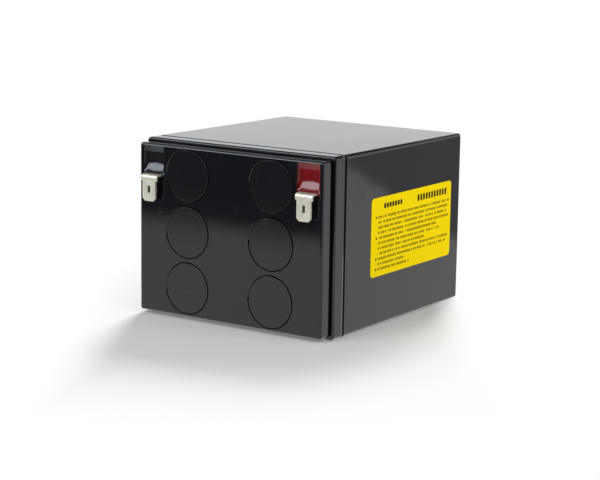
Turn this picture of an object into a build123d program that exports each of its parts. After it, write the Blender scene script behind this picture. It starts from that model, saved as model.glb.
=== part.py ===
"""Sealed lead acid battery, six cells in one case, with two push-on blade terminals.

Each piece is modelled standing on the battery's base, in millimetres: X along the long
side of the lid, Y along its short side, Z from the base up to the lid. At the end every
piece is laid on the long side that the battery rests on, so that the lid faces -Y, the
floor is Z = 0 and the origin is under the middle of the whole battery.
"""

import os
from math import atan, degrees, sqrt

from build123d import *

# Case, outside
case_length = 90.0
case_width = 70.4
case_height = 102.0
case_corner_radius = 1.7
case_draft = 0.29
base_edge_radius = 1.5

# Case, walls and cells
wall = 2.4
base_thickness = 2.5
cell_wall = 1.6
cell_corner_radius = 0.8
cell_wall_below_lid = 11.8
columns = 2
rows = 3

# Collar round the mouth of the case, which slopes down into a groove behind it
collar_height = 7.55
collar_edge_radius = 0.8
groove_width = 1.9
groove_depth = 0.42
groove_edge_radius = 0.15

# Lid
lid_step = 1.4
lid_side_height = 5.6
lid_gap = 0.7
lid_plate = 2.6
lid_corner_radius = 1.1
lid_edge_radius = 0.9
spigot_height = 5.0
spigot_thickness = 1.4
spigot_clearance = 0.2
bead_recess = 0.6
bead_clearance = 0.05

# Ribs under the lid, each with a channel that straddles a cell wall
rib_side_thickness = 0.9
rib_overlap = 1.0
channel_clearance = 0.05
channel_headroom = 0.3

# Vent wells, one over each cell
cover_spacing = 2.3
well_from_pocket = 1.4
cover_thickness = 1.6
cover_clearance = 0.15
cover_edge_radius = 0.15
cover_skirt_height = 1.2
cover_skirt_thickness = 1.0
cover_skirt_clearance = 0.3
well_ledge = 1.3
well_depth = 6.4
well_wall = 1.3
well_floor = 1.6
well_chamfer = 0.4
notch_radius = 1.2
notch_inset = 0.75
notch_depth = 1.1
stub_diameter = 7.0
stub_bore = 4.0
stub_height = 3.8
valve_wall = 1.3
valve_top = 0.8
valve_lift = 0.3
valve_clearance = 0.05

# Terminal pockets in two corners of the lid
pocket_length = 10.5
pocket_width = 11.9
pocket_depth = 8.5
pocket_wall = 1.2
pocket_floor = 1.8
pocket_corner_radius = 0.9
pocket_edge_radius = 0.2
pocket_from_end = 1.5
pocket_from_side = 1.0
pocket_step_above_shoulder = 0.8

# Blade terminals, bent from flat strip
tab_thickness = 0.8
tab_rise = 2.9
tab_blade_width = 6.35
tab_blade_length = 8.1
tab_shoulder_width = 7.7
tab_shoulder_length = 1.3
tab_bend_radius = 0.5
tab_tip_chamfer = 1.2
tab_tip_bevel = 0.2
tab_wall_gap = 0.1
tab_slot_length = 2.8
tab_slot_width = 1.35
tab_slot_from_tip = 4.8
tab_foot_margin = 0.6

# Posts, their holes and their sealing rings
post_diameter = 5.2
post_clearance = 0.15
post_tip_diameter = 3.9
post_tip_clearance = 0.1
post_tip_height = 1.0
post_shoulder_gap = 0.1
ring_section = 1.2
ring_squeeze = 0.02
ring_groove_clearance = 0.1

# Sealing resin in the pockets, with a dished surface
resin_below_lid = 3.2
resin_rim_below_lid = 0.5
resin_film = 0.35
resin_dish_radius = 2.2
resin_dish_bottom_radius = 2.1

# Plates, lugs and straps
positive_plate_count = 4
positive_thickness = 1.9
negative_thickness = 1.4
stack_clearance = 0.3
plate_side_gap = 2.5
plate_above_base = 1.5
plate_fold_gap = 0.2
mat_above_base = 0.1
mat_above_plate = 2.0
lug_width = 7.0
lug_height = 6.0
lug_from_plate_edge = 2.0
strap_width = 9.6
strap_height = 4.0
strap_end_gap = 1.5

# Links through the cell walls
upstand_thickness = 2.2
upstand_width = 9.0
upstand_height = 4.8
upstand_gap = 0.1
link_diameter = 5.2
link_clearance = 0.1
link_above_strap = 1.5
link_below_wall_top = 4.7

# Yellow label on the side of the case
label_height = 31.2
label_thickness = 0.1
label_corner_radius = 1.7
label_below_lid = 32.0
label_above_base = 8.0
label_rise = 0.4

# Levels above the base
shoulder_z = case_height - lid_side_height
collar_top_z = shoulder_z - lid_gap
body_top_z = collar_top_z - collar_height
collar_slope_z = body_top_z + groove_width
cell_wall_z = case_height - cell_wall_below_lid
plate_under_z = case_height - lid_plate
spigot_bottom_z = shoulder_z - spigot_height
well_floor_z = case_height - well_depth
well_ledge_z = case_height - cover_thickness
pocket_floor_z = case_height - pocket_depth
link_z = cell_wall_z - link_below_wall_top
strap_top_z = link_z - link_above_strap
strap_z = strap_top_z - strap_height
plate_top_z = strap_z - lug_height
plate_bottom_z = base_thickness + plate_above_base

# Sizes inside the case
inner_length = case_length - 2 * wall
inner_width = case_width - 2 * wall
cell_length = (inner_length - (columns - 1) * cell_wall) / columns
cell_width = (inner_width - (rows - 1) * cell_wall) / rows
column_pitch = cell_length + cell_wall
row_pitch = cell_width + cell_wall

# Plates fill the cell, and the mats are as thick as the room left between the plates
plate_width = cell_length - 2 * plate_side_gap
plate_height = plate_top_z - plate_bottom_z
plates_thickness = positive_plate_count * (positive_thickness + negative_thickness)
stack_room = cell_width - 2 * stack_clearance
mat_room = stack_room - plates_thickness - negative_thickness
mat_thickness = mat_room / (2 * positive_plate_count)
lug_offset = plate_width / 2 - lug_from_plate_edge - lug_width / 2

# Channel under the lid, wide enough for the rounded corners where cell walls cross
channel_width = cell_wall + 2 * (cell_corner_radius * (1 - sqrt(0.5)) + channel_clearance)

# Outlines of the lid
lid_length = case_length - 2 * lid_step
lid_width = case_width - 2 * lid_step
spigot_length = inner_length - 2 * spigot_clearance
spigot_width = inner_width - 2 * spigot_clearance
spigot_inner_length = spigot_length - 2 * spigot_thickness
spigot_inner_width = spigot_width - 2 * spigot_thickness
spigot_corner_radius = cell_corner_radius

# Vent wells, which nearly touch along each row of cells
cover_diameter = row_pitch - cover_spacing
hole_radius = cover_diameter / 2 + cover_clearance
well_radius = hole_radius - well_ledge

# Terminal pockets, which narrow under the step to fit inside the spigot
pocket_x = lid_length / 2 - pocket_from_end - pocket_length / 2
pocket_y = lid_width / 2 - pocket_from_side - pocket_width / 2
pocket_low_x = pocket_x - pocket_length / 2
pocket_low_y = pocket_y - pocket_width / 2
vent_column = pocket_low_x - well_from_pocket - hole_radius
pocket_step_z = shoulder_z + pocket_step_above_shoulder
sump_high_x = spigot_length / 2 - pocket_wall
sump_high_y = spigot_width / 2 - pocket_wall

# Posts and blades
post_y = pocket_y
tab_inner_y = pocket_low_y + tab_wall_gap
tab_outer_y = tab_inner_y + tab_thickness
tab_top_z = case_height + tab_rise
tab_outer_radius = tab_bend_radius + tab_thickness
tab_shoulder_y = tab_outer_y - tab_outer_radius - tab_shoulder_length
tab_tip_y = tab_shoulder_y - tab_blade_length
tab_foot_y = sump_high_y - tab_foot_margin

# Laying the standing battery on its side
lay_down = Pos(0, tab_top_z / 2, case_width / 2) * Rot(90, 0, 0)


def block(length, width, z_low, z_high, radius=0.0):
    """Upright block on the case's middle line, with rounded upright edges."""
    outline = RectangleRounded(length, width, radius) if radius else Rectangle(length, width)
    return extrude(Pos(0, 0, z_low) * outline, z_high - z_low)


def rod(radius, z_low, z_high):
    return Pos(0, 0, z_low) * extrude(Circle(radius), z_high - z_low)


def column_x(column):
    return (column - (columns - 1) / 2) * column_pitch


def row_y(row):
    return (row - (rows - 1) / 2) * row_pitch


def cells():
    """Column and row of each cell in the order of the current, from the positive post."""
    out = [(1, row) for row in reversed(range(rows))]
    back = [(0, row) for row in range(rows)]
    return out + back


def lug_x(column, at_end):
    """Middle of a row of lugs, at the end of the case or by the middle wall."""
    side = 1 if column else -1
    return column_x(column) + side * (lug_offset if at_end else -lug_offset)


def positive_at_end(index):
    """The polarity alternates, so that each link joins straps that face each other."""
    return (rows - 1 - index) % 2 == 0


def links():
    """Each link's middle, and True where it goes through the wall between the columns."""
    places = []
    order = cells()
    for index in range(len(order) - 1):
        column, row = order[index]
        next_column, next_row = order[index + 1]
        x = lug_x(column, not positive_at_end(index))
        if column == next_column:
            places.append((x, (row_y(row) + row_y(next_row)) / 2, False))
        else:
            places.append((0, row_y(row), True))
    return places


def link_rod(x, y, across, radius, length):
    """Rod along the way of the current, centred in the cell wall that it goes through."""
    turn = Rot(0, 90, 0) if across else Rot(90, 0, 0)
    return Pos(x, y, link_z) * turn * rod(radius, -length / 2, length / 2)


def container():
    """Box with its collar, groove and cell walls, moulded in one piece."""
    downwards = Plane((0, 0, body_top_z), x_dir=(1, 0, 0), z_dir=(0, 0, -1))
    outline = RectangleRounded(case_length, case_width, case_corner_radius)
    body = extrude(downwards * outline, body_top_z, taper=case_draft)
    body = fillet(body.faces().sort_by(Axis.Z)[0].edges(), base_edge_radius)
    body = fillet(body.faces().sort_by(Axis.Z)[-1].edges(), groove_edge_radius)
    collar = block(case_length, case_width, collar_slope_z, collar_top_z, case_corner_radius)
    collar = fillet(collar.faces().sort_by(Axis.Z)[-1].edges(), collar_edge_radius)
    slope_start = Plane((0, 0, collar_slope_z), x_dir=(1, 0, 0), z_dir=(0, 0, -1))
    slope_angle = degrees(atan(groove_depth / groove_width))
    slope = extrude(slope_start * outline, groove_width, taper=slope_angle)
    shell = body + slope + collar
    shell -= block(inner_length, inner_width, cell_wall_z, collar_top_z, cell_corner_radius)
    cell = block(cell_length, cell_width, base_thickness, cell_wall_z, cell_corner_radius)
    for column, row in cells():
        shell -= Pos(column_x(column), row_y(row), 0) * cell
    hole_reach = 2 * cell_wall
    for x, y, across in links():
        shell -= link_rod(x, y, across, link_diameter / 2 + link_clearance, hole_reach)
    return shell


def lid_ribs():
    """Ribs over the cell walls, each with its channel cut along it."""
    low = cell_wall_z - rib_overlap
    width = channel_width + 2 * rib_side_thickness
    top = cell_wall_z + channel_headroom
    ribs = block(width, spigot_inner_width, low, plate_under_z)
    channels = block(channel_width, spigot_inner_width, low, top)
    for row in range(rows - 1):
        y = (row_y(row) + row_y(row + 1)) / 2
        ribs += Pos(0, y, 0) * block(spigot_inner_length, width, low, plate_under_z)
        channels += Pos(0, y, 0) * block(spigot_inner_length, channel_width, low, top)
    return ribs, channels


def vent_places():
    """Middle of each vent well, and the side of the lid's middle line that it is on."""
    return [(side * vent_column, row_y(row), side) for side in (-1, 1) for row in range(rows)]


def well_cut():
    """Stepped hole for one vent cover, with the chamfer round its mouth."""
    hole = rod(hole_radius, well_ledge_z, case_height)
    hole += rod(well_radius, well_floor_z, well_ledge_z)
    mouth = Plane((0, 0, case_height - well_chamfer)) * Circle(hole_radius)
    rim = Plane((0, 0, case_height)) * Circle(hole_radius + well_chamfer)
    return hole + loft([mouth.face(), rim.face()])


def vent_stub():
    return rod(stub_diameter / 2, well_floor_z, well_floor_z + stub_height)


def lid():
    """Cover with a spigot that plugs the case, vent wells and terminal pockets."""
    cover = block(lid_length, lid_width, shoulder_z, case_height, lid_corner_radius)
    cover = fillet(cover.faces().sort_by(Axis.Z)[-1].edges(), lid_edge_radius)
    spigot = block(
        spigot_length, spigot_width, spigot_bottom_z, shoulder_z, spigot_corner_radius
    )
    hollow = block(spigot_inner_length, spigot_inner_width, spigot_bottom_z, plate_under_z)
    cover = cover + spigot - hollow
    ribs, channels = lid_ribs()
    cover += ribs
    room = block(
        spigot_length, spigot_width, cell_wall_z, plate_under_z, spigot_corner_radius
    )
    cup = rod(well_radius + well_wall, well_floor_z - well_floor, plate_under_z)
    for x, y, side in vent_places():
        cover += (Pos(x, y, 0) * cup) & room
    cover += both_ends(pocket_cup() & room)
    notch = rod(notch_radius, case_height - notch_depth, case_height)
    bore = rod(stub_bore / 2, well_floor_z - well_floor, well_floor_z + stub_height)
    for x, y, side in vent_places():
        place = Pos(x, y, 0)
        cover -= place * well_cut()
        cover += place * vent_stub()
        cover -= place * bore
        cover -= Pos(x - side * (hole_radius - notch_inset), y, 0) * notch
    post_bore = rod(
        post_diameter / 2 + post_clearance, pocket_floor_z - pocket_floor, pocket_floor_z
    )
    groove = rod(
        post_diameter / 2 + ring_section + ring_groove_clearance,
        pocket_floor_z - ring_section,
        pocket_floor_z,
    )
    cover -= both_ends(pocket_space(case_height))
    cover -= both_ends(Pos(pocket_x, post_y, 0) * (post_bore + groove))
    return round_pocket_mouths(cover - channels)


def round_pocket_mouths(cover):
    """Rounds the edges where the terminal pockets open on the lid's face."""
    face = cover.faces().sort_by(Axis.Z)[-1]
    mouths = []
    for edge in face.edges():
        middle = edge.center()
        in_reach = pocket_low_x - pocket_edge_radius < abs(middle.X) < pocket_x + pocket_length / 2
        if in_reach and pocket_low_y - pocket_edge_radius < middle.Y:
            mouths.append(edge)
    return fillet(mouths, pocket_edge_radius)


def both_ends(piece):
    """A piece at the positive end of the lid, with its mirror image at the other end."""
    return piece + mirror(piece, about=Plane.YZ)


def box_between(low, high, radius=0.0):
    """Upright block between two opposite corners."""
    (x0, y0, z0), (x1, y1, z1) = low, high
    return Pos((x0 + x1) / 2, (y0 + y1) / 2, 0) * block(x1 - x0, y1 - y0, z0, z1, radius)


def pocket_space(z_high):
    """Inside of the positive terminal's pocket, up to the given level."""
    upper = box_between(
        (pocket_low_x, pocket_low_y, pocket_step_z),
        (pocket_low_x + pocket_length, pocket_low_y + pocket_width, z_high),
        pocket_corner_radius,
    )
    sump = box_between(
        (pocket_low_x, pocket_low_y, pocket_floor_z),
        (sump_high_x, sump_high_y, pocket_step_z),
        pocket_corner_radius,
    )
    return upper + sump


def pocket_cup():
    """Walls and floor of the positive terminal's pocket under the lid's plate."""
    return box_between(
        (pocket_low_x - pocket_wall, pocket_low_y - pocket_wall, pocket_floor_z - pocket_floor),
        (spigot_length / 2, spigot_width / 2, plate_under_z),
    )


def sealing_bead():
    """Ring of sealant in the gap between the lid's shoulder and the collar."""
    outer = block(
        lid_length - 2 * bead_recess,
        lid_width - 2 * bead_recess,
        collar_top_z,
        shoulder_z,
        lid_corner_radius,
    )
    inner = block(
        spigot_length + 2 * bead_clearance,
        spigot_width + 2 * bead_clearance,
        collar_top_z,
        shoulder_z,
        spigot_corner_radius,
    )
    return outer - inner


def vent_cover():
    """Disc with a short skirt that centres it in the well."""
    disc = rod(cover_diameter / 2, well_ledge_z, case_height)
    disc = fillet(disc.faces().sort_by(Axis.Z)[-1].edges(), cover_edge_radius)
    outer = well_radius - cover_skirt_clearance
    skirt = rod(outer, well_ledge_z - cover_skirt_height, well_ledge_z)
    skirt -= rod(outer - cover_skirt_thickness, well_ledge_z - cover_skirt_height, well_ledge_z)
    return disc + skirt


def relief_valve():
    """Rubber cap that sits on a vent stub and lifts under pressure."""
    stub_top = well_floor_z + stub_height
    inner = stub_diameter / 2 + valve_clearance
    cap = rod(inner + valve_wall, well_floor_z + valve_lift, stub_top + valve_top)
    cap = fillet(cap.faces().sort_by(Axis.Z)[-1].edges(), valve_top / 2)
    return cap - rod(inner, well_floor_z + valve_lift, stub_top)


def terminal_tab():
    """Blade, shoulder, leg and foot of one strip, folded twice, then slotted."""
    inner, outer = tab_bend_radius, tab_outer_radius
    foot_z = pocket_floor_z
    blade_z = tab_top_z - tab_thickness
    under = FilletPolyline(
        (tab_foot_y, foot_z),
        (tab_inner_y, foot_z),
        (tab_inner_y, blade_z),
        (tab_tip_y, blade_z),
        radius=[outer, inner],
    )
    over = FilletPolyline(
        (tab_foot_y, foot_z + tab_thickness),
        (tab_outer_y, foot_z + tab_thickness),
        (tab_outer_y, tab_top_z),
        (tab_tip_y, tab_top_z),
        radius=[inner, outer],
    )
    ends = Line(under @ 0, over @ 0) + Line(under @ 1, over @ 1)
    profile = Plane.YZ * make_face(under + over + ends)
    strip = extrude(profile, tab_shoulder_width / 2, both=True)
    blade_y = tab_tip_y + tab_blade_length / 2
    blade = Pos(0, blade_y) * Rectangle(tab_blade_width, tab_blade_length)
    blade = chamfer(blade.vertices().group_by(Axis.Y)[0], tab_tip_chamfer)
    rest_length = tab_foot_y - tab_shoulder_y
    rest = Pos(0, tab_shoulder_y + rest_length / 2) * Rectangle(tab_shoulder_width, rest_length)
    outline = blade + rest
    strip &= Pos(0, 0, foot_z) * extrude(outline, tab_top_z - foot_z)
    tip_edges = strip.faces().sort_by(Axis.Y)[0].edges().filter_by(Axis.X)
    strip = chamfer(tip_edges, tab_tip_bevel)
    slot_y = tab_tip_y + tab_slot_from_tip
    slot = Pos(0, slot_y) * Rectangle(tab_slot_width, tab_slot_length)
    strip -= Pos(0, 0, blade_z) * extrude(slot, tab_thickness)
    hole = rod(post_tip_diameter / 2 + post_tip_clearance, foot_z, foot_z + tab_thickness)
    return Pos(pocket_x, 0, 0) * (strip - Pos(0, post_y, 0) * hole)


def post():
    """Lead pillar on the end strap, with a thinner tip for the tab's foot."""
    shoulder = pocket_floor_z - post_shoulder_gap
    tip_top = pocket_floor_z + tab_thickness + post_tip_height
    pillar = rod(post_diameter / 2, strap_top_z, shoulder)
    pillar += rod(post_tip_diameter / 2, shoulder, tip_top)
    return Pos(pocket_x, post_y, 0) * pillar


def sealing_ring():
    """Rubber ring round the post, between the pocket's floor and the tab's foot."""
    minor = ring_section / 2 - ring_squeeze
    major = post_diameter / 2 + ring_section / 2
    return Pos(pocket_x, post_y, pocket_floor_z - ring_section / 2) * Torus(major, minor)


def resin():
    """Resin cast round the tab, with a surface that climbs the walls of the pocket."""
    fill = pocket_space(case_height - resin_rim_below_lid)
    dish_low = case_height - resin_below_lid
    dish = block(
        pocket_length - 2 * resin_film,
        pocket_width - 2 * resin_film,
        dish_low,
        case_height,
        resin_dish_radius,
    )
    dish = fillet(dish.faces().sort_by(Axis.Z)[0].edges(), resin_dish_bottom_radius)
    fill -= Pos(pocket_x, pocket_y, 0) * dish
    return fill - terminal_tab() - post()


def plate_places(count, offset):
    """Middle of each plate of one polarity across the cell."""
    pitch = positive_thickness + negative_thickness + 2 * mat_thickness
    return [offset + pitch * (index - (count - 1) / 2) for index in range(count)]


def plate_group(index, positive):
    """Plates of one polarity in a cell, their lugs, and the strap with its upstand."""
    column, row = cells()[index]
    at_end = positive_at_end(index) == positive
    x = lug_x(column, at_end)
    count = positive_plate_count if positive else positive_plate_count + 1
    thickness = positive_thickness if positive else negative_thickness
    group = None
    for y in plate_places(count, row_y(row)):
        plate = Pos(column_x(column), y) * Rectangle(plate_width, thickness)
        plate = Pos(0, 0, plate_bottom_z) * extrude(plate, plate_height)
        lug = Pos(x, y, plate_top_z) * extrude(Rectangle(lug_width, thickness), lug_height)
        piece = plate + lug
        group = piece if group is None else group + piece
    strap_length = cell_width - 2 * strap_end_gap
    strap = extrude(Rectangle(strap_width, strap_length), strap_height)
    group += Pos(x, row_y(row), strap_z) * strap
    neighbour = index - 1 if positive else index + 1
    if neighbour in (-1, len(cells())):
        return group
    next_column, next_row = cells()[neighbour]
    if next_column == column:
        return group + upstand_to_row(x, row, next_row)
    return group + upstand_to_column(x, row)


def upstand_to_row(x, row, next_row):
    """Plate against the cell wall towards the next row, and its foot to the strap."""
    way = 1 if next_row > row else -1
    face = row_y(row) + way * (cell_width / 2 - upstand_gap)
    strap_end = row_y(row) + way * (cell_width / 2 - strap_end_gap)
    foot = Pos(x, (face + strap_end) / 2, strap_z) * extrude(
        Rectangle(upstand_width, abs(face - strap_end)), strap_height
    )
    plate = Pos(x, face - way * upstand_thickness / 2, strap_z) * extrude(
        Rectangle(upstand_width, upstand_thickness), strap_height + upstand_height
    )
    return foot + plate


def upstand_to_column(x, row):
    """Plate against the wall between the columns, and its arm to the strap."""
    way = 1 if x > 0 else -1
    face = way * (cell_wall / 2 + upstand_gap)
    arm = Pos((x + face) / 2, row_y(row), strap_z) * extrude(
        Rectangle(abs(x - face), upstand_width), strap_height
    )
    plate = Pos(face + way * upstand_thickness / 2, row_y(row), strap_z) * extrude(
        Rectangle(upstand_thickness, upstand_width), strap_height + upstand_height
    )
    return arm + plate


def mat_fold(plate_thickness, side):
    """Half ring of mat round the edge of one plate."""
    inside = plate_thickness / 2
    outside = inside + mat_thickness
    ring = Circle(outside) - Circle(inside)
    return ring & Pos(side * outside / 2, 0) * Rectangle(outside, 2 * outside)


def separator_mat(index):
    """Glass mat folded to and fro, so that a sheet lies between each pair of plates."""
    column, row = cells()[index]
    turn_x = plate_width / 2 + plate_fold_gap
    wrapped = [positive_thickness, negative_thickness] * positive_plate_count
    wrapped.pop()
    span = sum(wrapped) + len(wrapped) * mat_thickness
    sheet = Rectangle(2 * turn_x, mat_thickness)
    y = -span / 2
    outline = Pos(0, y) * sheet
    for number, plate_thickness in enumerate(wrapped):
        side = 1 if number % 2 else -1
        step = plate_thickness + mat_thickness
        outline += Pos(side * turn_x, y + step / 2) * mat_fold(plate_thickness, side)
        y += step
        outline += Pos(0, y) * sheet
    low = base_thickness + mat_above_base
    mat = extrude(outline, plate_top_z + mat_above_plate - low)
    return Pos(column_x(column), row_y(row), low) * mat


def intercell_link(place):
    """Short lead rod between two upstands, through its cell wall."""
    x, y, across = place
    return link_rod(x, y, across, link_diameter / 2, cell_wall + 2 * upstand_gap)


def label():
    """Thin rounded sheet stuck flat on the side of the case."""
    wall_at = Plane((case_length / 2, 0, body_top_z), x_dir=(0, 1, 0), z_dir=(1, 0, 0))
    drafted = wall_at.rotated((0, case_draft, 0))
    label_length = case_height - label_below_lid - label_above_base
    middle = label_below_lid + label_length / 2 - (case_height - body_top_z)
    outline = Pos(label_rise, -middle) * RectangleRounded(
        label_height, label_length, label_corner_radius
    )
    return extrude(drafted * outline, label_thickness)


def export(name, piece):
    export_step(lay_down * piece, f"parts/{name}.step")


def main():
    os.makedirs("parts", exist_ok=True)
    export("container", container())
    export("lid", lid())
    export("sealing_bead", sealing_bead())
    export("side_label", label())
    for number, (x, y, side) in enumerate(vent_places(), start=1):
        export(f"vent_cover_{number}", Pos(x, y, 0) * vent_cover())
        export(f"relief_valve_{number}", Pos(x, y, 0) * relief_valve())
    terminal = {
        "tab": terminal_tab(),
        "post": post(),
        "sealing_ring": sealing_ring(),
        "resin": resin(),
    }
    for name, piece in terminal.items():
        export(f"positive_{name}", piece)
        export(f"negative_{name}", mirror(piece, about=Plane.YZ))
    for index in range(len(cells())):
        number = index + 1
        export(f"positive_plates_{number}", plate_group(index, True))
        export(f"negative_plates_{number}", plate_group(index, False))
        export(f"separator_mat_{number}", separator_mat(index))
    for number, place in enumerate(links(), start=1):
        export(f"intercell_link_{number}", intercell_link(place))


main()
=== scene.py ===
"""Looks of the sealed lead acid battery: plastics, metal, resin, label, studio and camera.

Lengths are metres. The lid faces -Y, the label is on the +X side and the floor is Z = 0.
"""

from math import cos, hypot, radians, sin

import bmesh
import bpy
from mathutils import Matrix, Vector


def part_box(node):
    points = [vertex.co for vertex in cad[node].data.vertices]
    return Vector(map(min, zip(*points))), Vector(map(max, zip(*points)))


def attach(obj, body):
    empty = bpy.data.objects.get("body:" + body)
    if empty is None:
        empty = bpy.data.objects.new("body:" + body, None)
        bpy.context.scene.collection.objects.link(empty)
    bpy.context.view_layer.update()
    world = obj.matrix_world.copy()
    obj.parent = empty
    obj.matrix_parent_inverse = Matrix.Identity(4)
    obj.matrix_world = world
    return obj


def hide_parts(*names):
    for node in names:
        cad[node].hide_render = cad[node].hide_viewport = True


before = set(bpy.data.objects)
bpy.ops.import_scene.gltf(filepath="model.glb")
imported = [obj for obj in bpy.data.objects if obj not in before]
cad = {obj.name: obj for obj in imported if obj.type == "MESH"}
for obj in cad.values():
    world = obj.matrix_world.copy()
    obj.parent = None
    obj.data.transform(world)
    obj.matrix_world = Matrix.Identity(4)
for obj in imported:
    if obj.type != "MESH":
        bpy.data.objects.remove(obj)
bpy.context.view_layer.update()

MM = 0.001

lid_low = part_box("lid")[0]
case_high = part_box("container")[1]
HALF_HEIGHT = case_high.z / 2

# Camera, fitted to the outline in the photograph
CAMERA_AZIMUTH = radians(34.070)
CAMERA_ELEVATION = radians(10.681)
CAMERA_ROLL = radians(0.877)
CAMERA_DISTANCE = 0.744963
CAMERA_AIM = Vector((0.0, lid_low.y + 49.0 * MM, HALF_HEIGHT))
CAMERA_OFFSET = (-0.00167, 0.006838)
CAMERA_LENS = 109.644
CAMERA_SHIFT = (-0.00641, -0.00339)

# Resin surface in the pockets: depth in millimetres, and pairs of distance from an edge and slope there
RESIN_DEPTH = 1.5
RESIN_STEP_Y = lid_low.y + 4.8 * MM
RESIN_CORNER = 0.9 * MM
RESIN_CELL = 0.2 * MM
LEG_SLOPES = ((0.0, 1.1), (0.7, 0.62), (1.2, 0.5), (4.0, 0.2), (5.0, 0.0))
ROOF_SLOPES = ((0.0, 0.6), (1.2, 0.45), (2.9, 0.0))
SIDE_SLOPES = ((0.0, 1.6), (0.5, 1.0), (1.0, 0.6), (1.9, 0.0))
LEG_ARCH = 0.35
LEG_GAP = 0.1 * MM
LEG_THICKNESS = 0.8 * MM

# Vent covers
cover_low, cover_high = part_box("vent_cover_1")
next_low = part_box("vent_cover_2")[0]
VENT_X = abs(cover_low.x + cover_high.x) / 2
VENT_PITCH = abs(next_low.z - cover_low.z)
SINK_RADIUS = 7.6 * MM
SINK_WIDTH = 0.9 * MM

# Floor: where the shadow stays, and the edges of the painted reflection that glossy rays see on the floor, a
# white sheet with darker tones beyond
SHADOW_ALONG = (-0.20, -0.10, 0.085, 0.185)
SHADOW_ACROSS = (-0.090, -0.064, 0.052, 0.072)
PAINTED_REFLECTION_FRONT = (-0.25, -0.20)
PAINTED_REFLECTION_REAR = (0.05, 0.07)
FLOOR_DROP = 0.05 * MM


# Node helpers


def add(tree, kind, inputs=None, **settings):
    """New node with its settings, and its sockets linked or set."""
    node = tree.nodes.new(kind)
    for key, value in settings.items():
        setattr(node, key, value)
    for key, value in (inputs or {}).items():
        if isinstance(value, bpy.types.NodeSocket):
            tree.links.new(value, node.inputs[key])
        else:
            node.inputs[key].default_value = value
    return node


def calc(tree, operation, *values, clamp=False):
    inputs = dict(enumerate(values))
    return add(tree, "ShaderNodeMath", inputs, operation=operation, use_clamp=clamp).outputs[0]


def noise(tree, place, scale, detail=3.0, roughness=0.5):
    inputs = {"Vector": place, "Scale": scale, "Detail": detail, "Roughness": roughness}
    return add(tree, "ShaderNodeTexNoise", inputs).outputs[0]


def fade(tree, value, low, high, to_low=0.0, to_high=1.0):
    """Smooth step of a value from one range to another."""
    inputs = {"Value": value, 1: low, 2: high, 3: to_low, 4: to_high}
    node = add(tree, "ShaderNodeMapRange", inputs, interpolation_type="SMOOTHSTEP")
    return node.outputs[0]


def blend_colours(tree, share, first, second):
    node = add(tree, "ShaderNodeMix", {0: share, 6: first, 7: second}, data_type="RGBA")
    return node.outputs[2]


def stretched(tree, place, scale, turn=(0.0, 0.0, 0.0)):
    inputs = {"Vector": place, "Scale": scale, "Rotation": turn}
    return add(tree, "ShaderNodeMapping", inputs).outputs[0]


def new_group(name, inputs, outputs):
    tree = bpy.data.node_groups.new(name, "ShaderNodeTree")
    for kind, label in inputs:
        tree.interface.new_socket(label, in_out="INPUT", socket_type=kind)
    for kind, label in outputs:
        tree.interface.new_socket(label, in_out="OUTPUT", socket_type=kind)
    return tree, tree.nodes.new("NodeGroupInput"), tree.nodes.new("NodeGroupOutput")


def use_group(tree, group, inputs):
    node = tree.nodes.new("ShaderNodeGroup")
    node.node_tree = group
    for key, value in inputs.items():
        if isinstance(value, bpy.types.NodeSocket):
            tree.links.new(value, node.inputs[key])
        else:
            node.inputs[key].default_value = value
    return node


def material(name):
    """Material with a Principled shader; returns it, its tree, the shader and the place."""
    made = bpy.data.materials.new(name)
    made.use_nodes = True
    tree = made.node_tree
    tree.nodes.clear()
    output = tree.nodes.new("ShaderNodeOutputMaterial")
    shader = tree.nodes.new("ShaderNodeBsdfPrincipled")
    tree.links.new(shader.outputs[0], output.inputs["Surface"])
    place = tree.nodes.new("ShaderNodeTexCoord").outputs["Object"]
    return made, tree, shader, place


def bump(tree, height, distance, strength=1.0):
    inputs = {"Height": height, "Distance": distance, "Strength": strength}
    return add(tree, "ShaderNodeBump", inputs).outputs[0]


# Shared effects


def handling_group():
    """Marks of handling on a glossy moulding: smudges, hairline scratches and dust."""
    tree, source, out = new_group(
        "handling",
        [("NodeSocketVector", "Place")],
        [
            ("NodeSocketFloat", "Smudge"),
            ("NodeSocketFloat", "Scratch"),
            ("NodeSocketFloat", "Dust"),
            ("NodeSocketFloat", "Ripple"),
        ],
    )
    place = source.outputs["Place"]
    broad = noise(tree, place, 38.0, 4.0, 0.6)
    fine = noise(tree, place, 210.0, 5.0, 0.65)
    smudge = calc(tree, "MULTIPLY", fade(tree, broad, 0.46, 0.68), fade(tree, fine, 0.38, 0.66))
    scratches = None
    for scale, turn in (
        ((40.0, 1500.0, 45.0), (0.3, 0.5, 0.2)),
        ((45.0, 60.0, 1700.0), (0.9, 0.2, 0.7)),
        ((1600.0, 50.0, 45.0), (0.1, 0.8, 0.6)),
    ):
        streak = fade(tree, noise(tree, stretched(tree, place, scale, turn), 1.0, 1.0), 0.7, 0.78)
        scratches = streak if scratches is None else calc(tree, "MAXIMUM", scratches, streak)
    patches = fade(tree, noise(tree, place, 75.0, 2.0), 0.5, 0.62)
    scratch = calc(tree, "MULTIPLY", scratches, patches)
    cells = add(tree, "ShaderNodeTexVoronoi", {"Vector": place, "Scale": 420.0})
    chance = add(tree, "ShaderNodeSeparateColor", {0: cells.outputs["Color"]}).outputs[0]
    near = fade(tree, cells.outputs["Distance"], 0.05, 0.11, 1.0, 0.0)
    dust = calc(tree, "MULTIPLY", near, calc(tree, "GREATER_THAN", chance, 0.965))
    ripple = calc(
        tree, "ADD", noise(tree, place, 26.0, 1.0), calc(tree, "MULTIPLY", noise(tree, place, 900.0), 0.012)
    )
    tree.links.new(smudge, out.inputs["Smudge"])
    tree.links.new(scratch, out.inputs["Scratch"])
    tree.links.new(dust, out.inputs["Dust"])
    tree.links.new(ripple, out.inputs["Ripple"])
    return tree


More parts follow.
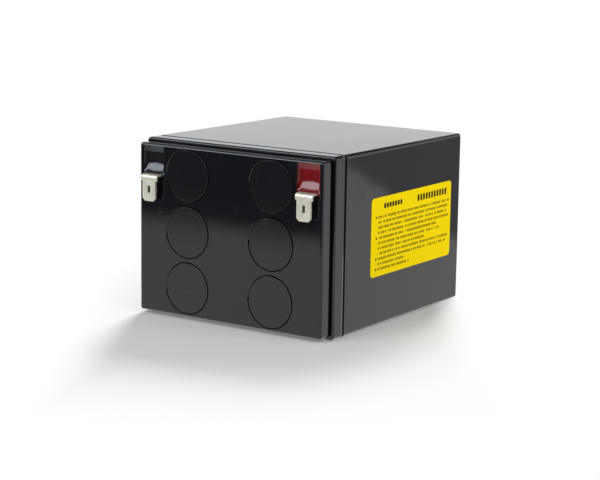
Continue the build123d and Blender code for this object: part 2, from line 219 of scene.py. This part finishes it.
def grain_group():
    """Cloudy and fine variation for matt and metal surfaces."""
    tree, source, out = new_group(
        "grain",
        [("NodeSocketVector", "Place"), ("NodeSocketFloat", "Scale")],
        [("NodeSocketFloat", "Cloud"), ("NodeSocketFloat", "Grain")],
    )
    scale = source.outputs["Scale"]
    place = source.outputs["Place"]
    cloud = noise(tree, place, scale, 4.0, 0.6)
    grain = noise(tree, place, calc(tree, "MULTIPLY", scale, 9.0), 5.0, 0.7)
    tree.links.new(cloud, out.inputs["Cloud"])
    tree.links.new(grain, out.inputs["Grain"])
    return tree


HANDLING = handling_group()
GRAIN = grain_group()


# Materials


def glossy_plastic(name, base, roughness, ripple_height, sink=False):
    """Black glossy moulding with handling marks and a slight waviness."""
    made, tree, shader, place = material(name)
    marks = use_group(tree, HANDLING, {"Place": place})
    rough = calc(tree, "MULTIPLY_ADD", marks.outputs["Smudge"], 0.07, roughness)
    rough = calc(tree, "MULTIPLY_ADD", marks.outputs["Scratch"], 0.12, rough, clamp=True)
    dust = calc(tree, "MULTIPLY", marks.outputs["Dust"], 0.35)
    colour = blend_colours(tree, dust, (*base, 1.0), (0.32, 0.31, 0.29, 1.0))
    tree.links.new(colour, shader.inputs["Base Color"])
    tree.links.new(rough, shader.inputs["Roughness"])
    shader.inputs["IOR"].default_value = 1.5
    height = marks.outputs["Ripple"]
    if sink:
        height = calc(tree, "ADD", height, sink_ring(tree, place))
    tree.links.new(bump(tree, height, ripple_height), shader.inputs["Normal"])
    return made


def sink_ring(tree, place):
    """Shallow ring in each vent cover over the edge of the skirt behind it."""
    part = add(tree, "ShaderNodeSeparateXYZ", {0: place}).outputs
    across = calc(tree, "SUBTRACT", calc(tree, "ABSOLUTE", part["X"]), VENT_X)
    along = calc(tree, "SUBTRACT", part["Z"], HALF_HEIGHT - VENT_PITCH / 2)
    along = calc(tree, "FLOORED_MODULO", along, VENT_PITCH)
    along = calc(tree, "SUBTRACT", along, VENT_PITCH / 2)
    squares = calc(tree, "ADD", calc(tree, "POWER", across, 2.0), calc(tree, "POWER", along, 2.0))
    radius = calc(tree, "SQRT", squares)
    off = calc(tree, "ABSOLUTE", calc(tree, "SUBTRACT", radius, SINK_RADIUS))
    return calc(tree, "MULTIPLY", fade(tree, off, 0.0, SINK_WIDTH, 1.0, 0.0), -0.03)


def matt(name, base, other, roughness, scale, metallic=0.0, height=0.00004):
    """Plain matt or metal finish, clouded between two colours."""
    made, tree, shader, place = material(name)
    look = use_group(tree, GRAIN, {"Place": place, "Scale": scale})
    share = fade(tree, look.outputs["Cloud"], 0.35, 0.68)
    tree.links.new(blend_colours(tree, share, (*base, 1.0), (*other, 1.0)), shader.inputs["Base Color"])
    rough = fade(tree, look.outputs["Grain"], 0.3, 0.7, roughness * 0.85, min(1.0, roughness * 1.15))
    tree.links.new(rough, shader.inputs["Roughness"])
    shader.inputs["Metallic"].default_value = metallic
    tree.links.new(bump(tree, look.outputs["Grain"], height), shader.inputs["Normal"])
    return made


def tinned_metal():
    """Tin plate on the blades: warm silver, faintly mottled, with drawn streaks."""
    made, tree, shader, place = material("tinned_blade")
    look = use_group(tree, GRAIN, {"Place": place, "Scale": 330.0})
    streaks = noise(tree, stretched(tree, place, (2600.0, 300.0, 160.0)), 1.0, 3.0)
    share = fade(tree, look.outputs["Cloud"], 0.36, 0.66)
    colour = blend_colours(tree, share, (0.80, 0.775, 0.655, 1.0), (0.70, 0.675, 0.55, 1.0))
    specks = fade(tree, noise(tree, place, 2400.0, 3.0, 0.7), 0.5, 0.68, 0.0, 0.45)
    colour = blend_colours(tree, specks, colour, (0.42, 0.41, 0.33, 1.0))
    tree.links.new(colour, shader.inputs["Base Color"])
    rough = fade(tree, streaks, 0.3, 0.7, 0.30, 0.42)
    tree.links.new(rough, shader.inputs["Roughness"])
    shader.inputs["Metallic"].default_value = 0.45
    height = calc(tree, "ADD", look.outputs["Cloud"], calc(tree, "MULTIPLY", streaks, 0.25))
    tree.links.new(bump(tree, height, 0.00006), shader.inputs["Normal"])
    return made


def cast_resin(name, deep, pale, roughness):
    """Cast resin: glossy, a little cloudy, with tiny bubbles and a skin that waves."""
    made, tree, shader, place = material(name)
    look = use_group(tree, GRAIN, {"Place": place, "Scale": 240.0})
    share = calc(tree, "MULTIPLY", fade(tree, look.outputs["Cloud"], 0.45, 0.75), 0.5)
    colour = blend_colours(tree, share, (*deep, 1.0), (*pale, 1.0))
    tree.links.new(colour, shader.inputs["Base Color"])
    shader.inputs["Roughness"].default_value = roughness
    shader.inputs["IOR"].default_value = 1.5
    bubbles = add(tree, "ShaderNodeTexVoronoi", {"Vector": place, "Scale": 900.0})
    chance = add(tree, "ShaderNodeSeparateColor", {0: bubbles.outputs["Color"]}).outputs[0]
    pit = calc(
        tree,
        "MULTIPLY",
        fade(tree, bubbles.outputs["Distance"], 0.1, 0.3, 1.0, 0.0),
        calc(tree, "GREATER_THAN", chance, 0.97),
    )
    height = calc(tree, "SUBTRACT", look.outputs["Cloud"], pit)
    tree.links.new(bump(tree, height, 0.00010), shader.inputs["Normal"])
    return made


def within(tree, value, low, high):
    """1 where a value lies between two limits."""
    above = calc(tree, "GREATER_THAN", value, low)
    return calc(tree, "MULTIPLY", above, calc(tree, "LESS_THAN", value, high))


PRINT_LINES_TOP = 44.4
PRINT_PITCH = 2.055
PRINT_LEFT = -12.4
PRINT_ENDS = (43.0, 42.6, 40.9, 42.6, 32.6, 35.1, 23.0, 42.3, 40.5, 8.0, 11.6)
BULLET_LINES = (0, 4, 8, 10)
BULLET_REACH = (1.7, 0.8)
HEADING_ALONG = (-8.4, 5.7)
HEADING_UP = (46.5, 48.4)
HEADING_PITCH = 2.05
CODE_ALONG = (17.3, 41.2)
CODE_UP = (46.0, 48.6)
CODE_PITCH = 2.17
WORD_CELLS = 1.9


def blocks(tree, along, up, reach, rise, pitch, filled):
    """Row of plain blocks between two limits along and two limits up."""
    row = calc(tree, "MULTIPLY", within(tree, along, *reach), within(tree, up, *rise))
    beat = calc(tree, "FRACT", calc(tree, "DIVIDE", calc(tree, "SUBTRACT", along, reach[0]), pitch))
    return calc(tree, "MULTIPLY", row, calc(tree, "LESS_THAN", beat, filled))


def print_group():
    """Rows of plain bars in place of the label's wording, in label millimetres."""
    tree, source, out = new_group(
        "label_print", [("NodeSocketVector", "Place")], [("NodeSocketFloat", "Ink")]
    )
    part = add(tree, "ShaderNodeSeparateXYZ", {0: source.outputs["Place"]}).outputs
    along = calc(tree, "MULTIPLY", part["Y"], 1000.0)
    up = calc(tree, "MULTIPLY", part["Z"], 1000.0)
    down = calc(tree, "DIVIDE", calc(tree, "SUBTRACT", PRINT_LINES_TOP, up), PRINT_PITCH)
    line = calc(tree, "FLOOR", down)
    level = calc(tree, "SUBTRACT", down, line)
    body = within(tree, level, 0.26, 0.74)
    on_page = within(tree, down, 0.0, float(len(PRINT_ENDS)))
    ends = None
    for number, end in enumerate(PRINT_ENDS):
        here = calc(tree, "COMPARE", line, float(number), 0.5)
        this = calc(tree, "MULTIPLY", here, end)
        ends = this if ends is None else calc(tree, "ADD", ends, this)
    width = within(tree, along, PRINT_LEFT, ends)
    slots = calc(tree, "FLOOR", calc(tree, "MULTIPLY", along, WORD_CELLS))
    chance = add(
        tree,
        "ShaderNodeTexWhiteNoise",
        {"Vector": add(tree, "ShaderNodeCombineXYZ", {0: slots, 1: line}).outputs[0]},
        noise_dimensions="2D",
    ).outputs["Value"]
    words = calc(tree, "GREATER_THAN", chance, 0.16)
    ink = calc(tree, "MULTIPLY", calc(tree, "MULTIPLY", body, on_page), calc(tree, "MULTIPLY", width, words))
    ink = calc(tree, "MULTIPLY", ink, 0.6)
    bullet_column = within(tree, along, PRINT_LEFT - BULLET_REACH[0], PRINT_LEFT - BULLET_REACH[1])
    for number in BULLET_LINES:
        row = calc(tree, "MULTIPLY", calc(tree, "COMPARE", line, float(number), 0.5), body)
        ink = calc(tree, "MAXIMUM", ink, calc(tree, "MULTIPLY", row, bullet_column))
    heading = blocks(tree, along, up, HEADING_ALONG, HEADING_UP, HEADING_PITCH, 0.74)
    code = blocks(tree, along, up, CODE_ALONG, CODE_UP, CODE_PITCH, 0.66)
    ink = calc(tree, "MAXIMUM", ink, calc(tree, "MAXIMUM", heading, code))
    tree.links.new(ink, out.inputs["Ink"])
    return tree


def yellow_label():
    """Yellow film with bars of dark ink, faintly dirty, slightly wavy."""
    made, tree, shader, place = material("yellow_label")
    ink = use_group(tree, print_group(), {"Place": place}).outputs["Ink"]
    look = use_group(tree, GRAIN, {"Place": place, "Scale": 120.0})
    share = calc(tree, "MULTIPLY", fade(tree, look.outputs["Cloud"], 0.4, 0.75), 0.35)
    film = blend_colours(tree, share, (1.0, 0.76, 0.0, 1.0), (0.93, 0.68, 0.0, 1.0))
    colour = blend_colours(tree, ink, film, (0.035, 0.028, 0.012, 1.0))
    tree.links.new(colour, shader.inputs["Base Color"])
    rough = fade(tree, look.outputs["Grain"], 0.3, 0.7, 0.30, 0.42)
    tree.links.new(rough, shader.inputs["Roughness"])
    shader.inputs["Specular IOR Level"].default_value = 0.01
    tree.links.new(bump(tree, look.outputs["Cloud"], 0.00003), shader.inputs["Normal"])
    return made


CASE = glossy_plastic("black_case_plastic", (0.0045, 0.0048, 0.0058), 0.06, 0.00016)
LID = glossy_plastic("black_lid_plastic", (0.0045, 0.0048, 0.0062), 0.055, 0.00016)
COVER = glossy_plastic("black_vent_cover_plastic", (0.0048, 0.0051, 0.0064), 0.15, 0.00014, sink=True)
SEALANT = matt("black_sealant", (0.010, 0.010, 0.011), (0.018, 0.018, 0.019), 0.6, 260.0)
RUBBER = matt("black_rubber", (0.012, 0.012, 0.013), (0.022, 0.022, 0.023), 0.7, 300.0)
LABEL = yellow_label()
TIN = tinned_metal()
RED = cast_resin("red_resin", (0.20, 0.0, 0.003), (0.30, 0.002, 0.006), 0.17)
BLACK = cast_resin("black_resin", (0.008, 0.008, 0.009), (0.016, 0.016, 0.018), 0.17)
LEAD = matt("cast_lead", (0.20, 0.21, 0.23), (0.11, 0.12, 0.13), 0.45, 180.0, 0.9)
OXIDE = matt("brown_paste", (0.062, 0.028, 0.018), (0.10, 0.05, 0.034), 0.85, 220.0, 0.0, 0.0001)
SPONGE = matt("grey_paste", (0.11, 0.115, 0.12), (0.17, 0.175, 0.18), 0.8, 220.0, 0.0, 0.0001)
MAT = matt("glass_mat", (0.72, 0.72, 0.70), (0.84, 0.84, 0.82), 0.95, 700.0, 0.0, 0.0002)

FINISHES = {
    "container": CASE,
    "lid": LID,
    "sealing_bead": SEALANT,
    "side_label": LABEL,
    "vent_cover": COVER,
    "relief_valve": RUBBER,
    "positive_tab": TIN,
    "negative_tab": TIN,
    "positive_post": LEAD,
    "negative_post": LEAD,
    "positive_sealing_ring": RUBBER,
    "negative_sealing_ring": RUBBER,
    "positive_resin": RED,
    "negative_resin": BLACK,
    "positive_plates": OXIDE,
    "negative_plates": SPONGE,
    "separator_mat": MAT,
    "intercell_link": LEAD,
}


def dress(piece, finish):
    piece.data.materials.clear()
    piece.data.materials.append(finish)


for name, piece in cad.items():
    kind = name.rstrip("0123456789").rstrip("_")
    dress(piece, FINISHES[kind])


# Resin, cast into the pockets with a skin that climbs the walls and the blade's leg


def steps(low, high, size):
    """Values from low to high with about the given spacing."""
    count = max(1, round((high - low) / size))
    return [low + (high - low) * i / count for i in range(count)]


def climb(slopes, distance):
    """Share of the resin's depth that its skin has climbed at a distance from an edge in millimetres."""
    left = 0.0
    for (near, steep), (far, shallow) in zip(slopes, slopes[1:]):
        start = min(max(distance, near), far)
        at_start = steep + (shallow - steep) * (start - near) / (far - near)
        left += (far - start) * (at_start + shallow) / 2
    return left / RESIN_DEPTH


def resin_skin(name, finish):
    """Closed block of resin from the pocket's step up to its dished skin."""
    low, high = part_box(name + "_resin")
    leg_low, leg_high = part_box(name + "_tab")
    leg_top = low.z + LEG_GAP + LEG_THICKNESS
    centre_x = (low.x + high.x) / 2
    xs = steps(low.x, leg_low.x, RESIN_CELL) + steps(leg_low.x, leg_high.x, RESIN_CELL)
    xs += steps(leg_high.x, high.x, RESIN_CELL) + [high.x]
    zs = steps(low.z, leg_top, RESIN_CELL) + steps(leg_top, high.z, RESIN_CELL) + [high.z]

    def height(x, z):
        aside = 2 * (x - centre_x) / (high.x - low.x)
        from_leg = max(z - leg_top, 0.0) * (1.0 + LEG_ARCH * aside * aside)
        flat = 1.0
        for slopes, distance in (
            (SIDE_SLOPES, x - low.x),
            (SIDE_SLOPES, high.x - x),
            (ROOF_SLOPES, high.z - z),
            (LEG_SLOPES, from_leg),
        ):
            flat *= 1.0 - climb(slopes, distance / MM)
        return low.y + RESIN_DEPTH * MM * flat

    mesh = bmesh.new()
    across, along = len(xs) - 1, len(zs) - 1
    bmesh.ops.create_grid(mesh, x_segments=across, y_segments=along, size=0.5)
    leg = []
    for v in mesh.verts:
        x, z = xs[round((v.co.x + 0.5) * across)], zs[round((v.co.y + 0.5) * along)]
        v.co = (x, low.y, z)
    for face in mesh.faces:
        middle = face.calc_center_median()
        if leg_low.x < middle.x < leg_high.x and middle.z < leg_top:
            leg.append(face)
    bmesh.ops.delete(mesh, geom=leg, context="FACES")
    for v in mesh.verts:
        x, z = rounded_corner(v.co.x, v.co.z, low, high)
        v.co = (x, height(x, z), z)
    top = list(mesh.faces)
    side = bmesh.ops.extrude_face_region(mesh, geom=top)
    for v in side["geom"]:
        if isinstance(v, bmesh.types.BMVert):
            v.co.y = RESIN_STEP_Y
    bmesh.ops.recalc_face_normals(mesh, faces=mesh.faces)
    data = bpy.data.meshes.new(name + "_cast_resin")
    mesh.to_mesh(data)
    mesh.free()
    for polygon in data.polygons:
        polygon.use_smooth = True
    data.set_sharp_from_angle(angle=radians(50.0))
    piece = bpy.data.objects.new(name + "_cast_resin", data)
    bpy.context.scene.collection.objects.link(piece)
    dress(piece, finish)
    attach(piece, "root")
    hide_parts(name + "_resin")
    return piece


def rounded_corner(x, z, low, high):
    """Point moved in from the sharp corner of a rectangle onto its rounded corner."""
    near_x = min(max(x, low.x + RESIN_CORNER), high.x - RESIN_CORNER)
    near_z = min(max(z, low.z + RESIN_CORNER), high.z - RESIN_CORNER)
    distance = hypot(x - near_x, z - near_z)
    if distance <= RESIN_CORNER or near_x == x or near_z == z:
        return x, z
    share = RESIN_CORNER / distance
    return near_x + (x - near_x) * share, near_z + (z - near_z) * share


resin_skin("positive", RED)
resin_skin("negative", BLACK)


# Studio


def rectangle(name, corners):
    """Flat sheet through four corners."""
    mesh = bmesh.new()
    mesh.faces.new([mesh.verts.new(corner) for corner in corners])
    data = bpy.data.meshes.new(name)
    mesh.to_mesh(data)
    mesh.free()
    sheet = bpy.data.objects.new(name, data)
    bpy.context.scene.collection.objects.link(sheet)
    return sheet


def outside(tree, value, limits):
    """0 between the two inner limits, and 1 past the two outer ones."""
    below = fade(tree, value, limits[0], limits[1], 1.0, 0.0)
    return calc(tree, "MAXIMUM", below, fade(tree, value, limits[2], limits[3]))


def floor_material():
    """Pale floor that keeps soft shadows; glossy rays see a painted reflection on it instead, a white sheet
    with darker tones past two edges.
    """
    made, tree, shader, place = material("pale_floor")
    output = tree.nodes["Material Output"]
    part = add(tree, "ShaderNodeSeparateXYZ", {0: place}).outputs
    along = calc(tree, "MULTIPLY_ADD", part["Y"], -0.83, calc(tree, "MULTIPLY", part["X"], 0.56))
    across = calc(tree, "MULTIPLY_ADD", part["Y"], 0.56, calc(tree, "MULTIPLY", part["X"], 0.83))
    far = calc(tree, "MAXIMUM", outside(tree, across, SHADOW_ACROSS), outside(tree, along, SHADOW_ALONG))
    grey, black = (0.68, 0.68, 0.68, 1.0), (0.0, 0.0, 0.0, 1.0)
    tree.links.new(blend_colours(tree, far, grey, black), shader.inputs["Base Color"])
    dim, white = (0.15, 0.15, 0.15, 1.0), (1.0, 1.0, 1.0, 1.0)
    tree.links.new(blend_colours(tree, far, dim, white), shader.inputs["Emission Color"])
    shader.inputs["Emission Strength"].default_value = 1.0
    shader.inputs["Roughness"].default_value = 0.9
    shader.inputs["Specular IOR Level"].default_value = 0.0
    # Glossy rays see the painted reflection tones in place of the lit floor
    mirrored = tree.nodes.new("ShaderNodeLightPath").outputs["Is Glossy Ray"]
    painted_reflection = add(tree, "ShaderNodeEmission", {"Color": painted_reflection_tones(tree, part), "Strength": 1.0})
    mix = add(tree, "ShaderNodeMixShader", {0: mirrored, 1: shader.outputs[0], 2: painted_reflection.outputs[0]})
    tree.links.new(mix.outputs[0], output.inputs["Surface"])
    return made


def painted_reflection_tones(tree, part):
    """Painted reflection that glossy rays see on the floor: a white sheet, grey past its rear edge and near
    black past its front edge, where no room is modelled.
    """
    white = (1.0, 1.0, 1.0, 1.0)
    front = fade(tree, part["Y"], *PAINTED_REFLECTION_FRONT, 1.0, 0.0)
    rear = fade(tree, calc(tree, "SUBTRACT", part["Y"], part["X"]), *PAINTED_REFLECTION_REAR)
    # Painted reflection: grey past the rear edge, near black past the front edge
    sheet = blend_colours(tree, rear, white, (0.40, 0.40, 0.43, 1.0))
    return blend_colours(tree, front, sheet, (0.10, 0.10, 0.13, 1.0))


def glow_material(name, strength):
    """Even white glow, where a strength of 1 is white."""
    made = bpy.data.materials.new(name)
    made.use_nodes = True
    tree = made.node_tree
    tree.nodes.clear()
    output = tree.nodes.new("ShaderNodeOutputMaterial")
    glow = add(tree, "ShaderNodeEmission", {"Strength": strength})
    tree.links.new(glow.outputs[0], output.inputs["Surface"])
    return made


floor = rectangle("floor", [(-3.0, -3.0, 0.0), (3.0, -3.0, 0.0), (3.0, 3.0, 0.0), (-3.0, 3.0, 0.0)])
floor.location.z = -FLOOR_DROP
dress(floor, floor_material())

backdrop = rectangle(
    "backdrop", [(-3.0, 1.1, 0.0), (3.0, 1.1, 0.0), (3.0, 1.1, 0.62), (-3.0, 1.1, 0.62)]
)
dress(backdrop, glow_material("white_backdrop", 1.0))

ceiling = rectangle("ceiling", [(-2.0, -0.9, 1.6), (-2.0, 0.8, 1.6), (1.2, 0.8, 1.6), (1.2, -0.9, 1.6)])
dress(ceiling, glow_material("pale_ceiling", 0.42))


def softbox(name, centre, across, up, colour, power):
    """Flat rectangular soft light, given by its middle and its two half axes."""
    across, up = Vector(across), Vector(up)
    data = bpy.data.lights.new(name, "AREA")
    data.shape = "RECTANGLE"
    data.size, data.size_y = 2 * across.length, 2 * up.length
    data.energy = power
    data.color = colour
    light = bpy.data.objects.new(name, data)
    away = across.cross(up).normalized()
    turn = Matrix((across.normalized(), up.normalized(), away)).transposed().to_4x4()
    light.matrix_world = Matrix.Translation(Vector(centre)) @ turn
    bpy.context.scene.collection.objects.link(light)
    return light


left = softbox("left_softbox", (-0.50, -0.71, 0.41), (0.46, 0, 0), (0, 0.105, 0.19), (0.82, 0.91, 1.0), 8.0)
left.visible_diffuse = False
fill = softbox(
    "front_fill", (-0.35, -1.0, 0.75), (0.283, -0.099, 0), (0.057, 0.163, 0.245), (1, 1, 1), 5.2
)
fill.visible_glossy = False
softbox("right_softbox", (0.85, -0.1, 0.65), (0.0, 0.4, 0.0), (-0.24, 0.0, 0.32), (1, 1, 1), 4.2)
rear = softbox(
    "rear_softbox", (-0.33, 0.83, 0.76), (0.186, 0.074, 0.0), (-0.065, 0.163, -0.206), (1, 1, 1), 15.0
)
rear.visible_glossy = False

world = bpy.data.worlds.new("studio")
world.use_nodes = True
tree = world.node_tree
background = tree.nodes["Background"]
background.inputs["Color"].default_value = (0.95, 0.97, 1.0, 1.0)
seen = tree.nodes.new("ShaderNodeLightPath").outputs["Is Camera Ray"]
tree.links.new(fade(tree, seen, 0.0, 1.0, 0.12, 1.0), background.inputs["Strength"])
bpy.context.scene.world = world


# Camera


def photograph_camera():
    a, e, r = CAMERA_AZIMUTH, CAMERA_ELEVATION, CAMERA_ROLL
    back = Vector((sin(a) * cos(e), -cos(a) * cos(e), sin(e)))
    level = Vector((cos(a), sin(a), 0.0))
    upright = back.cross(level)
    right = level * cos(r) + upright * sin(r)
    up = upright * cos(r) - level * sin(r)
    data = bpy.data.cameras.new("photograph_camera")
    data.lens = CAMERA_LENS
    data.shift_x, data.shift_y = CAMERA_SHIFT
    data.clip_start, data.clip_end = 0.05, 20.0
    camera = bpy.data.objects.new("photograph_camera", data)
    place = CAMERA_AIM + back * CAMERA_DISTANCE
    place -= right * CAMERA_OFFSET[0] + up * CAMERA_OFFSET[1]
    turn = Matrix((right, up, back)).transposed().to_4x4()
    camera.matrix_world = Matrix.Translation(place) @ turn
    bpy.context.scene.collection.objects.link(camera)
    bpy.context.scene.camera = camera


photograph_camera()
bpy.context.scene.view_settings.view_transform = "Standard"
